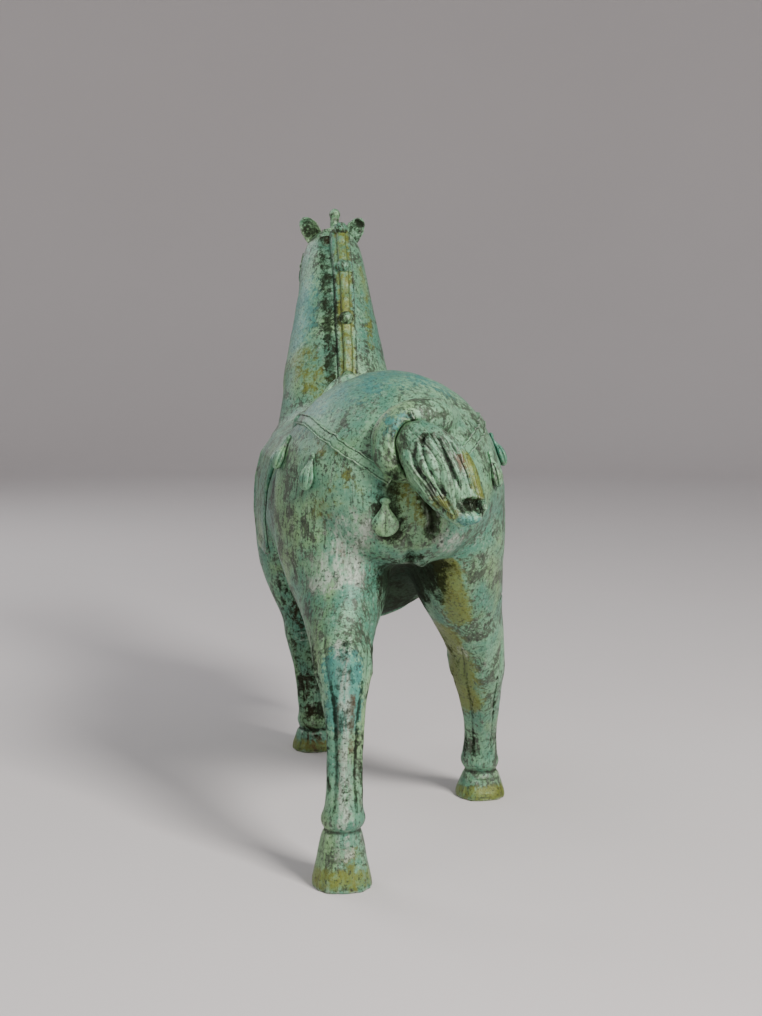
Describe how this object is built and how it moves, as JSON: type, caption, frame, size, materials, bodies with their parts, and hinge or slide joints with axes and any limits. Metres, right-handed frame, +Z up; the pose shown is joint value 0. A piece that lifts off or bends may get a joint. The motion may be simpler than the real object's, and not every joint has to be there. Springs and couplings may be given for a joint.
{
  "type": "bronze horse statue",
  "caption": "Standing bronze horse in the Tang style with a verdigris patina, a saddle, a full harness with hanging pendants, a clipped mane and a bound tail, one forefoot lifted.",
  "frame": {"origin": "bottom centre of the statue's box, level with the soles of the three standing hooves", "axes": "+Z up, the horse faces -Y, +X is the horse's left side"},
  "size_m": [0.1466, 0.3947, 0.361],
  "materials": {
    "horse_bronze": "verdigris patina",
    "mane_bronze": "verdigris patina",
    "tail_bronze": "verdigris patina",
    "saddle_bronze": "verdigris patina",
    "harness_bronze": "verdigris patina"
  },
  "bodies": {
    "root": {"torso_shell": "horse_bronze", "neck_shell": "horse_bronze", "head_casting": "horse_bronze", "ear_left": "horse_bronze", "ear_right": "horse_bronze", "mane_crest": "mane_bronze", "mane_tufts": "mane_bronze", "forelock_tufts": "mane_bronze", "leg_hind_left": "horse_bronze", "leg_hind_right": "horse_bronze", "leg_front_left": "horse_bronze", "leg_front_right": "horse_bronze", "tail_coil": "tail_bronze", "tail_tuft": "tail_bronze", "dock_pendant": "harness_bronze", "saddle_pad": "saddle_bronze", "saddle_seat": "saddle_bronze", "saddle_pommel": "saddle_bronze", "saddle_cantle": "saddle_bronze", "saddle_flap_left": "saddle_bronze", "saddle_flap_right": "saddle_bronze", "girth_strap": "harness_bronze", "breast_strap": "harness_bronze", "crupper_strap_left": "harness_bronze", "crupper_strap_right": "harness_bronze", "hip_strap_left": "harness_bronze", "hip_strap_right": "harness_bronze", "strap_bosses": "harness_bronze", "hip_pendants_left": "harness_bronze", "hip_pendants_right": "harness_bronze", "breast_pendants": "harness_bronze", "headstall": "harness_bronze", "bridle_rosettes": "harness_bronze", "bit_cheekpieces": "harness_bronze"}
  },
  "joints": []
}
